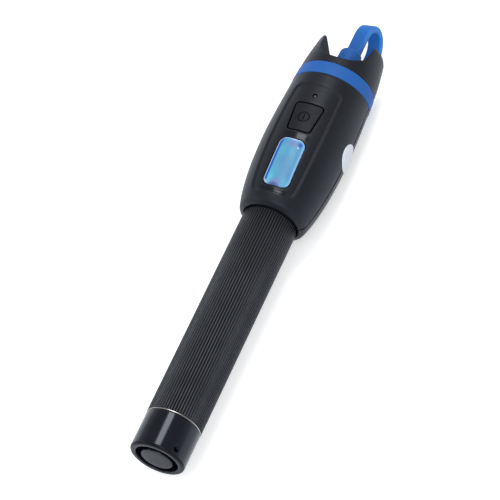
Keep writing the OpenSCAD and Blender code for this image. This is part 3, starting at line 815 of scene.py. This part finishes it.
def panel_mask(along, turn):
    """How far a point of the head has sunk into the recessed panel, from 0 to 1."""
    side = math.radians(turn - PANEL_TURN) * PANEL_RADIUS
    past_end = abs(along - (PANEL_Z + PANEL_END) / 2) - (PANEL_END - PANEL_Z) / 2 + PANEL_CORNER
    past_side = abs(side) - PANEL_HALF + PANEL_CORNER
    outside = (math.hypot(max(past_end, 0), max(past_side, 0)) + min(max(past_end, past_side), 0)
               - PANEL_CORNER)
    length = PANEL_RAMP + PANEL_RAMP_MORE * min(1.0, max(0.0, side / PANEL_HALF))
    t = min(1.0, max(0.0, -outside / length))
    return t * t * (3 - 2 * t)


def sink_panel(piece):
    """Presses the recessed panel into the front shell's surface."""
    group = piece.vertex_groups.new(name="panel")
    for vertex in piece.data.vertices:
        turn = math.degrees(math.atan2(-vertex.co.y, vertex.co.z - AXIS * MM))
        weight = panel_mask(vertex.co.x / MM + MIDDLE, turn)
        if weight > 0:
            group.add([vertex.index], weight, "REPLACE")
    modify(piece, "DISPLACE", strength=-PANEL_DEPTH * MM, mid_level=0.0, vertex_group="panel",
           direction="NORMAL")
    piece.vertex_groups.clear()


def thicken(piece, wall):
    """Gives a shell its wall, inwards."""
    modify(piece, "SOLIDIFY", thickness=wall * MM, offset=-1.0)
    outward(piece)


def finish_shell(piece, edge, node):
    """Rounds a shell's edges, paints shade on the groove along its seam and hands it over."""
    sharp_bevel(piece, 0.16, angle=50)
    smooth(piece, 40)
    even_normals(piece)
    if not piece.data.materials:
        give(BODY, piece)
    # painted shade: the faces at the seam's edge take the near-black material
    second_material(piece, DARK_SIGN_AND_GAP_SHADE, lambda z, y, h: abs(abs(math.degrees(math.atan2(y, h))) - edge) < 0.12)
    return finish_piece(piece, BODY, "pen", "black_plastic", node)


def shell_front():
    """Front half of the head with its recessed panel, button window, badge seat and lamp hole."""
    flat_z, flat_end, ramp_end = 110.6, 155.6, 158.6  # the rows are closer at both ends of the panel
    rows = (LIP_ROWS + steps(NECK_END, flat_z, 0.3) + steps(flat_z, flat_end, 1.0)
            + steps(flat_end, ramp_end, 0.3) + steps(ramp_end, SHELL_END, 1.0) + [SHELL_END])
    half, middle, edge = 90 - SEAM_FRONT, 62.0, 12.0  # degrees, with closer steps at the panel's edges
    outer = half - (middle / 2 + edge)
    piece = turned("shell_front", head_profile(rows), start=-half,
                   sweeps=((24, outer), (24, edge), (31, middle), (24, edge), (24, outer)))
    sink_panel(piece)
    thicken(piece, WALL)
    window = prism("window_tool", keystone(BUTTON_Z - WINDOW_GAP, BUTTON_END + WINDOW_GAP, *WINDOW_SHAPE),
                   TOOL_LOW, TOOL_HIGH, BUTTON_SIDE)
    seat = prism("seat_tool", keystone(BADGE_Z - SEAT_GAP, BADGE_END + SEAT_GAP, *SEAT_SHAPE),
                 SEAT_HEIGHT, TOOL_HIGH)
    hole = prism("lamp_tool", disc(LAMP_AT, LAMP_SIDE, LAMP_HOLE), TOOL_LOW, TOOL_HIGH)
    give(BODY, piece)
    # painted shade: the walls of the button window, badge seat and lamp hole take the near-black material
    give(DARK_SIGN_AND_GAP_SHADE, window, seat, hole)
    cut(piece, window, seat, hole)
    outward(piece, 0.03)
    return finish_shell(piece, half, "front_shell")


def shell_rear():
    """Plain rear half of the head."""
    rows = LIP_ROWS + steps(NECK_END, SHELL_END, 1.5) + [SHELL_END]
    edge, half = 90 + SEAM_REAR, 90 - SEAM_REAR
    piece = turned("shell_rear", head_profile(rows), start=edge, sweeps=((72, 2 * half),))
    thicken(piece, WALL)
    return finish_shell(piece, edge, "rear_shell")


def seam_shade_strip(name, middle):
    """Dark strip behind the seam between the shells, put there as painted shade in the seam's gap."""
    sunk, thickness, half_turn = 0.75, 1.3, 3.5
    rows = steps(104.8, SHELL_END, 2.9) + [SHELL_END - 0.3]
    piece = turned(name, [(z, head_radius(z) - sunk) for z in rows], start=middle - half_turn,
                   sweeps=((6, 2 * half_turn),))
    thicken(piece, thickness)
    sharp_bevel(piece, 0.1, angle=50)
    smooth(piece, 40)
    # painted shade: the seal's black rubber stands for the shade in the seam's gap
    return finish_piece(piece, SEAL_RUBBER_AND_SEAM_SHADE, "pen", "black_plastic")


# button, lamp, badge and label
STRIPS = evenly(-4.8, 0.8, 13)  # lines that let flat faces follow the head's curve


def sign_ring():
    """A ring about a line towards the button side, which cuts the sign's groove."""
    surface = head_radius(SIGN_AT) - PANEL_DEPTH
    height = math.sqrt(surface**2 - 0.5 * SIGN_RADIUS * SIGN_RADIUS)
    piece = added("ring_tool", bpy.ops.mesh.primitive_torus_add, location=facing(SIGN_AT, SIGN_SIDE, height),
                  major_radius=SIGN_RADIUS * MM, minor_radius=SIGN_HALF * MM, major_segments=64,
                  minor_segments=12)
    settle(piece)
    for vertex in piece.data.vertices:
        y = vertex.co.y / MM
        vertex.co.z += (math.sqrt(surface * surface - y * y) - height) * MM
    return piece


def button():
    """Keystone button with a crowned top, rounded edges and a sunk ring and line."""
    low, top, flange_height, foot_height, overlap, play = 11.2, 18, 0.9, 0.7, 0.1, 0.08
    piece = prism("button_cap", keystone(BUTTON_Z + play, BUTTON_END - play, *BUTTON_SHAPE),
                  low + flange_height - overlap, top, BUTTON_SIDE)
    slice_lengthwise(piece, STRIPS)
    slice_across(piece, [138.5, 141.7, 144.9])
    outward(piece, 0.04)
    drape(piece, 14, PANEL_DEPTH - 0.02)
    sharp_bevel(piece, 0.34, angle=60, segments=4)
    ring = sign_ring()
    line_floor = head_radius(142) - PANEL_DEPTH - 0.32
    line = prism("line_tool", keystone(LINE_Z, LINE_END, *LINE_SHAPE), line_floor, top, SIGN_SIDE)
    give(KEY, piece)
    # the sign's groove takes the near-black material: its own dark inlay, with painted shade on the groove's
    # walls
    give(DARK_SIGN_AND_GAP_SHADE, ring, line)
    cut(piece, ring, line)
    outward(piece, 0.01)
    smooth(piece, 40)
    flange = prism("flange", keystone(BUTTON_Z - FLANGE_REACH, BUTTON_END + FLANGE_REACH, *FLANGE_SHAPE),
                   low, low + flange_height)
    foot = prism("foot", disc(142.0, 0, 2.2), low - foot_height, low + overlap)
    join(piece, flange, foot)
    even_normals(piece)
    return finish_piece(piece, KEY, "button", "black_plastic", "power_button")


def lamp_lens():
    """Small smoky lens of the lamp, sunk in its hole."""
    top = head_radius(LAMP_AT) - PANEL_DEPTH - 0.2
    piece = prism("lamp_lens", disc(LAMP_AT, LAMP_SIDE, LAMP_LENS), top - 3.0, top)
    sharp_bevel(piece, 0.42, angle=60, segments=5)
    smooth(piece, 50)
    return finish_piece(piece, PIPE, "pen", "clear", "light_pipe")


def badge_dome():
    """Domed badge, bare."""
    outline = keystone(BADGE_Z, BADGE_END, BADGE_HALF, BADGE_HALF, BADGE_CORNER, 10)
    piece = prism("badge_dome", outline, 13.35, 18)
    slice_lengthwise(piece, evenly(-4.55, 0.65, 15))
    slice_across(piece, evenly(BADGE_Z, 3.34, 6)[1:])
    outward(piece, 0.04)
    drape(piece, 14, 0.24, dome=0.12, half=BADGE_HALF)
    sharp_bevel(piece, 0.5, angle=60, segments=5)
    outward(piece, 0.01)
    smooth(piece, 50)
    even_normals(piece)
    return finish_piece(piece, DOME, "pen", "badge_blue", "badge")


def side_label():
    """Round film label on the seam."""
    piece = added("side_label", bpy.ops.mesh.primitive_circle_add, vertices=72, radius=LABEL_RADIUS * MM,
                  fill_type="NGON")
    editing(piece)
    bpy.ops.mesh.extrude_region_move(TRANSFORM_OT_translate={"value": (0, 0, MM)})
    done()
    slice_lengthwise(piece, STRIPS)
    outward(piece, 0.04)
    for vertex in piece.data.vertices:
        along, up = LABEL_AT + vertex.co.x / MM, vertex.co.y / MM
        radius = head_radius(along) + (LABEL_THICKNESS if vertex.co.z > 0.5 * MM else 0.0)
        vertex.co = facing(along, math.sqrt(radius * radius - up * up), up)
    outward(piece, 0.001)
    sharp_bevel(piece, 0.05, angle=60)
    smooth(piece, 40)
    return finish_piece(piece, LABEL, "pen", "label_grey", "seal_label")


# tube and tail
def draw_in(along, share):
    """Shrinks what is selected towards the pen's axis."""
    bpy.ops.transform.resize(value=(1, share, share), center_override=place(along, 0, 0))


def grip_tube():
    """Ribbed outer wall of the battery tube."""
    points_per_rib, rib_share, lead_share, wall_share = 10, 0.86, 0.97, 0.95
    piece = added("grip_tube", bpy.ops.mesh.primitive_circle_add, vertices=RIBS * points_per_rib,
                  radius=RIB_CREST * MM, rotation=(0, math.pi / 2, 0), location=place(RIB_Z, 0, 0))
    settle(piece)
    for vertex in piece.data.vertices:
        angle = math.atan2(vertex.co.y, vertex.co.z - AXIS * MM)
        off = abs(((angle / (2 * math.pi) * RIBS) % 1.0) - 0.5) * 2
        share = math.sqrt(max(0.0, 1 - (off / rib_share) ** 2)) if off < rib_share else 0.0
        radius = (RIB_ROOT + (RIB_CREST - RIB_ROOT) * share) * MM
        vertex.co.y, vertex.co.z = radius * math.sin(angle), AXIS * MM + radius * math.cos(angle)
    editing(piece)
    rows = (RIB_Z, 40.0, 70.0, RIB_END - 0.3, RIB_END)
    for z_from, z_to in zip(rows, rows[1:]):
        bpy.ops.mesh.extrude_region_move(TRANSFORM_OT_translate={"value": ((z_to - z_from) * MM, 0, 0)})
    draw_in(RIB_END, lead_share)
    bpy.ops.mesh.extrude_region_move()
    draw_in(RIB_END, wall_share)
    done()
    choose_nothing(piece)
    for vertex in piece.data.vertices:
        vertex.select = abs(vertex.co.x - place(RIB_Z, 0, 0).x) < 1e-6
    open_mesh(piece)
    bpy.ops.mesh.extrude_region_move()
    draw_in(RIB_Z, wall_share)
    done()
    outward(piece)
    smooth(piece, 50)
    return finish_piece(piece, TUBE, "pen", "tube_black", "battery_tube")


def tube_core():
    """Inner wall of the battery tube, with a bright turned collar at its tail end."""
    start, end, bore, wall, collar, bevel_in = 14.65, 120.0, 7.65, 9.9, 10.35, 10.25
    profile = [(start, 9.2), (14.6, 9.4), (14.7, bevel_in), (14.78, collar), (15.12, collar),
               (15.2, bevel_in), (RIB_Z, wall), (103.7, wall), (119.6, 9.95), (end, 9.6), (end, bore),
               (start, bore), (start, 9.2)]
    piece = turned("tube_core", profile, sweeps=((144, 360.0),))
    smooth(piece, 35)
    give(TUBE, piece)
    second_material(piece, COLLAR, lambda z, y, h: z < 15.21 and math.hypot(y, h) > 9.95)
    return finish_piece(piece, TUBE, "pen", "tube_black")


def hole_bar(along, turn, radius, low, high):
    """A round bar square to the pen's axis, which cuts a hole."""
    piece = added("hole_tool", bpy.ops.mesh.primitive_cylinder_add, vertices=40, radius=radius * MM,
                  depth=(high - low) * MM, location=place(along, turn, (low + high) / 2),
                  rotation=(math.radians(turn), 0, 0))
    settle(piece)
    return piece


def tail_cap():
    """Glossy screw cap with a deep groove round its post, and a lanyard hole."""
    groove, post, inner, outer, fillet, post_edge, rim = 6.0, 6.0, 8.1, 10.4, 0.3, 0.35, 1.1
    shoulder, thread, neck, bore, floor, end = 14.5, 8.95, 8.15, 7.45, 9.0, 23.0
    profile = ([(0.0, 0.0), (0.0, 3.0)] + arc(post_edge, post - post_edge, post_edge, 180, 90, 4)
               + arc(groove - fillet, post + fillet, fillet, -90, 0, 3)
               + arc(groove - fillet, inner - fillet, fillet, 0, 90, 3)
               + arc(fillet, inner + fillet, fillet, -90, -180, 3)
               + arc(rim, outer - rim, rim, 180, 90, 9) + [(7.0, outer)]
               + arc(shoulder - fillet, outer - fillet, fillet, 90, 0, 4)
               + [(shoulder, thread), (15.6, thread), (15.6, neck), (17.0, neck), (17.0, thread),
                  (22.7, thread), (end, 8.6), (end, bore), (floor, bore), (floor, 0.0)])
    piece = turned("tail_cap_gloss", profile)
    cut(piece, hole_bar(2.7, 46.5, 1.0, 6.6, 12))
    outward(piece, 0.01)
    sharp_bevel(piece, 0.07, angle=50)
    smooth(piece, 40)
    give(GLOSS, piece)
    second_material(piece, END, lambda z, y, h: z < 1.0 and math.hypot(y, h) > 8.2)
    second_material(piece, FACE, lambda z, y, h: z < 0.04)
    return finish_piece(piece, GLOSS, "tail", "black_gloss", "tail_cap")


# ring, crown and dust cap
def accent_ring():
    """Blue ring between the head's shells and the crown."""
    proud, edge, bore = 0.15, 0.28, 12.1
    low, high = head_radius(RING_Z) + proud, head_radius(RING_END) + proud
    profile = [(RING_Z, bore)] + arc(RING_Z + edge, low - edge, edge, 180, 92, 4)
    profile += [(RING_Z + (RING_END - RING_Z) * k / 6, low + (high - low) * k / 6) for k in range(1, 6)]
    profile += arc(RING_END - edge, high - edge, edge, 88, 0, 4) + [(RING_END, bore), (RING_Z, bore)]
    piece = turned("accent_ring_blue", profile)
    smooth(piece, 40)
    return finish_piece(piece, BLUE, "pen", "tether_blue", "accent_ring")


def fork_outline():
    """Outline of the crown's cut as (along, side). It leans to the right."""
    up_shares = [0, 0.015, 0.053, 0.116, 0.209, 0.317, 0.447, 0.59, 0.738, 1.1]
    half_shares = [0, 0.084, 0.135, 0.185, 0.23, 0.263, 0.279, 0.285, 0.288, 0.292]
    base, length, upright_share = 172.1, 13.1, 0.7
    pairs = list(zip(up_shares, up_shares[1:]))
    shares = [low + (high - low) * k / 4 for low, high in pairs for k in range(4)] + [up_shares[-1]]
    halves = [HEAD_D * curve(up_shares, half_shares, share) for share in shares]
    right = [(base + share * length, half + FORK_SIDE) for share, half in zip(shares, halves)]
    left = [(base + share * length, FORK_SIDE * (1 - upright_share * min(1.0, share)) - half)
            for share, half in zip(shares[1:], halves[1:])]
    return right + left[::-1]


def ear_corner(sign):
    """The tool that rounds the outer corner of one ear."""
    radius, height = 5.0, 6.0
    outline = arc(HEAD_END - radius, height, radius, 0, 90, 12)
    outline += [(HEAD_END - radius, FAR), (HEAD_END + 1, FAR), (HEAD_END + 1, height)]
    tool = prism("corner_tool", [(z, sign * y) for z, y in outline], -FAR, FAR)
    tool.data.transform(about_axis(90))
    outward(tool, 0.0001)
    return tool


def crown():
    """Two-eared crown round the port."""
    foot, floor, bore, mouth, edge = RING_END + 0.02, 171.2, 3.3, 7.6, 0.3
    places = steps(RING_END + 0.6, 181.4, 0.8) + [181.4, 182.4, 183.4, 184.2]
    profile = ([(foot, bore), (foot, head_radius(RING_END) - 0.2), (RING_END + 0.2, head_radius(RING_END))]
               + head_profile(places)
               + arc(HEAD_END - edge, head_radius(HEAD_END) - edge + 0.03, edge, 80, 0, 4)
               + [(HEAD_END, mouth), (floor, mouth), (floor, bore), (foot, bore)])
    piece = turned("crown_black", profile)
    fork = prism("fork_tool", fork_outline(), -FAR, FAR)
    notch = prism("notch_tool", keystone(NOTCH_Z, NOTCH_END, *NOTCH_SHAPE, 3), NOTCH_FLOOR, FAR, STRAP_SIDE)
    notch.data.transform(about_axis(180 - STRAP_TURN))
    corners = [ear_corner(1), ear_corner(-1)]
    give(FORK, fork)
    give(BODY, piece, notch, *corners)
    cut(piece, fork, notch, *corners)
    outward(piece, 0.02)
    sharp_bevel(piece, 0.22, angle=30, segments=3)
    smooth(piece, 35)
    even_normals(piece)
    return finish_piece(piece, BODY, "pen", "black_plastic", "crown")


def dust_cap():
    """Soft blue cap over the port."""
    low, end, outer, bore, top, mouth_edge, top_edge = 173.3, 185.35, 4.45, 3.25, 2.2, 0.25, 1.6
    profile = ([(low, bore)] + arc(low + mouth_edge, outer - mouth_edge, mouth_edge, 180, 90, 3)
               + [(low + 4, outer), (end - 3.0, outer - 0.03)]
               + arc(end - top_edge, outer - 1.65, top_edge, 88, 0, 8)
               + [(end, 0.0), (end - top, 0.0), (end - top, bore), (low, bore)])
    piece = turned("dust_cap_blue", profile, sweeps=((96, 360.0),))
    smooth(piece, 40)
    return finish_piece(piece, BLUE, "dust", "tether_blue", "dust_cap")


def strap_line():
    """Middle line of the strap as (along, outward), from the dust cap over the arch to the ring."""
    start, width, rise, arch_z, reach = 0.55, 13.95, 7.75, 194.3, 25.4
    middle, leg = start + width / 2, start + width
    down_shares = [0, 0.06, 0.3, 0.6, 0.84, 0.96, 1]
    out_shares = [0, 0.001, 0.019, 0.027, 0.006, -0.012, -0.012]
    points = [(z, start) for z in (STRAP_Z, 187.0, 190.0)]
    points += [(arch_z + rise * math.sin(math.pi * k / 32), middle - width / 2 * math.cos(math.pi * k / 32))
               for k in range(33)]
    points += [(arch_z - reach * share, leg + reach * curve(down_shares, out_shares, share))
               for share in [k / 16 for k in range(1, 17)]]
    return points


def strap_section():
    """Points (across, through) round the strap's section, which is a rectangle with round corners."""
    half_width, half_thickness, corner = 2.88, 1.29, 0.55
    corners = ((1, 1), (-1, 1), (-1, -1), (1, -1))
    return [point for i, (w, t) in enumerate(corners)
            for point in arc(w * (half_width - corner), t * (half_thickness - corner), corner,
                             90 * i, 90 * i + 90, 4)]


def cap_strap():
    """Moulded strap from the dust cap to the ring, its edges rounded."""
    line, section = strap_line(), strap_section()
    piece = added("cap_strap_blue", bpy.ops.mesh.primitive_circle_add, vertices=len(section), radius=MM,
                  fill_type="NGON")
    angle = math.radians(180 - STRAP_TURN)
    away = Vector((0, -math.sin(angle), math.cos(angle)))
    across = Vector((0, -math.cos(angle), -math.sin(angle)))
    axis = Vector((0, 0, AXIS * MM))

    def ring(i):
        """Places of the section's points round one point of the line."""
        a, b = line[max(i - 1, 0)], line[min(i + 1, len(line) - 1)]
        way = Vector((b[0] - a[0], b[1] - a[1])).normalized()
        through = Vector((-way[1], 0, 0)) + way[0] * away
        z, out = line[i]
        centre = axis + Vector(((z - MIDDLE) * MM, 0, 0)) + (out * MM) * away
        return [centre + ((w + STRAP_SIDE) * MM) * across + t * MM * through for w, t in section]

    for vertex, co in zip(piece.data.vertices, ring(0)):
        vertex.co = co
    for i in range(1, len(line)):
        choose_nothing(piece)
        first_new = len(piece.data.vertices) - len(section)
        for face in piece.data.polygons:
            face.select = len(face.vertices) == len(section) and min(face.vertices) >= first_new
        open_mesh(piece)
        bpy.ops.mesh.select_mode(type="FACE")
        bpy.ops.mesh.extrude_region_move()
        done()
        chosen = [vertex for vertex in piece.data.vertices if vertex.select]
        for vertex, co in zip(chosen, ring(i)):
            vertex.co = co
    outward(piece)
    smooth(piece, 50)
    give(BLUE, piece)
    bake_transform(piece)
    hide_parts("cap_strap")
    return piece


shell_front()
shell_rear()
seam_shade_strip("seam_shade_strip_right", 90)
seam_shade_strip("seam_shade_strip_left", -90)
button()
lamp_lens()
badge_dome()
side_label()
grip_tube()
tube_core()
tail_cap()
accent_ring()
crown()
dust_cap()
cap_strap()


# floor, lights and camera
FLOOR_LIFT = 0.4  # light that the floor adds for the camera, which makes it white and leaves a faint shadow
COOL = (0.94, 0.965, 1.0)


def white_floor():
    """Floor of the studio."""
    floor = added("floor", bpy.ops.mesh.primitive_plane_add, size=6.0, location=(0, 0, 0))
    white = (0.95, 0.95, 0.95)
    material, tree, shader, _ = new_material("floor_white", white, 0.9, specular=0.0)
    path = tree.nodes.new("ShaderNodeLightPath").outputs
    mirrored = math_node(tree, "MAXIMUM", path["Is Glossy Ray"], path["Is Transmission Ray"])
    seen = math_node(tree, "MAXIMUM", path["Is Camera Ray"], times(tree, mirrored, 0.65))
    tree.links.new(times(tree, seen, FLOOR_LIFT), shader.inputs["Emission Strength"])
    shader.inputs["Emission Color"].default_value = (1, 0.985, 0.96, 1)
    tone = mix_colour(tree, path["Is Camera Ray"], (0.84, 0.885, 0.94, 1), (*white, 1))
    tree.links.new(tone, shader.inputs["Base Color"])
    give(material, floor)


def lamp(name, position, target, size, power, colour=(1, 1, 1)):
    """A soft area lamp that faces a point."""
    light = bpy.data.lights.new(name, "AREA")
    light.shape = "RECTANGLE"
    light.size, light.size_y = size
    light.energy = power
    light.color = colour
    holder = bpy.data.objects.new(name, light)
    bpy.context.scene.collection.objects.link(holder)
    holder.location = position
    holder.rotation_euler = (Vector(target) - Vector(position)).to_track_quat("-Z", "Y").to_euler()


def studio_sweep():
    """White sweep round the pen, brightest low down, and plain white for the camera."""
    world = bpy.data.worlds.new("studio")
    bpy.context.scene.world = world
    world.use_nodes = True
    tree = world.node_tree
    height = split(tree, tree.nodes.new("ShaderNodeTexCoord").outputs["Generated"])["Z"]
    sweep = span(tree, height, 0.02, 0.5, 0.8, 0.38)
    seen = tree.nodes.new("ShaderNodeLightPath").outputs["Is Camera Ray"]
    background = tree.nodes["Background"].inputs
    tree.links.new(mix_colour(tree, seen, (0.93, 0.965, 1, 1), (1, 1, 1, 1)), background["Color"])
    tree.links.new(math_node(tree, "MAXIMUM", sweep, seen), background["Strength"])


def photo_camera():
    """The camera, fitted to both ends of the pen in the photograph."""
    lens = bpy.data.cameras.new("camera")
    lens.lens = 194.04
    lens.sensor_width = 36.0
    lens.shift_x, lens.shift_y = -0.001, 0.0005
    lens.clip_start, lens.clip_end = 0.05, 20.0
    camera = bpy.data.objects.new("camera", lens)
    bpy.context.scene.collection.objects.link(camera)
    right, up, back = ((0.385889, -0.914722, -0.119884), (0.799385, 0.266669, 0.538397),
                       (-0.460515, -0.303594, 0.834119))
    camera.matrix_world = (Matrix.Translation(Vector((-362.42 - MIDDLE, -296.39, 837.38)) * MM)
                           @ Matrix((right, up, back)).transposed().to_4x4())
    bpy.context.scene.camera = camera


white_floor()
lamp("lamp_key", (-0.75, -0.3, 1.25), (0, 0, 0), (0.9, 0.9), 9.4, COOL)
lamp("lamp_strip", (0.33, 0.05, 0.78), (0.0, 0, 0.02), (0.3, 0.47), 3.5)
lamp("lamp_left", (-0.45, 0.95, 0.55), (0, 0, 0.01), (0.8, 0.4), 2.6, COOL)
lamp("lamp_right", (-0.4, -1.0, 0.5), (0, 0, 0.01), (0.8, 0.5), 0.9, COOL)
studio_sweep()
photo_camera()
bpy.context.scene.view_settings.view_transform = "Standard"

bpy.context.view_layer.update()
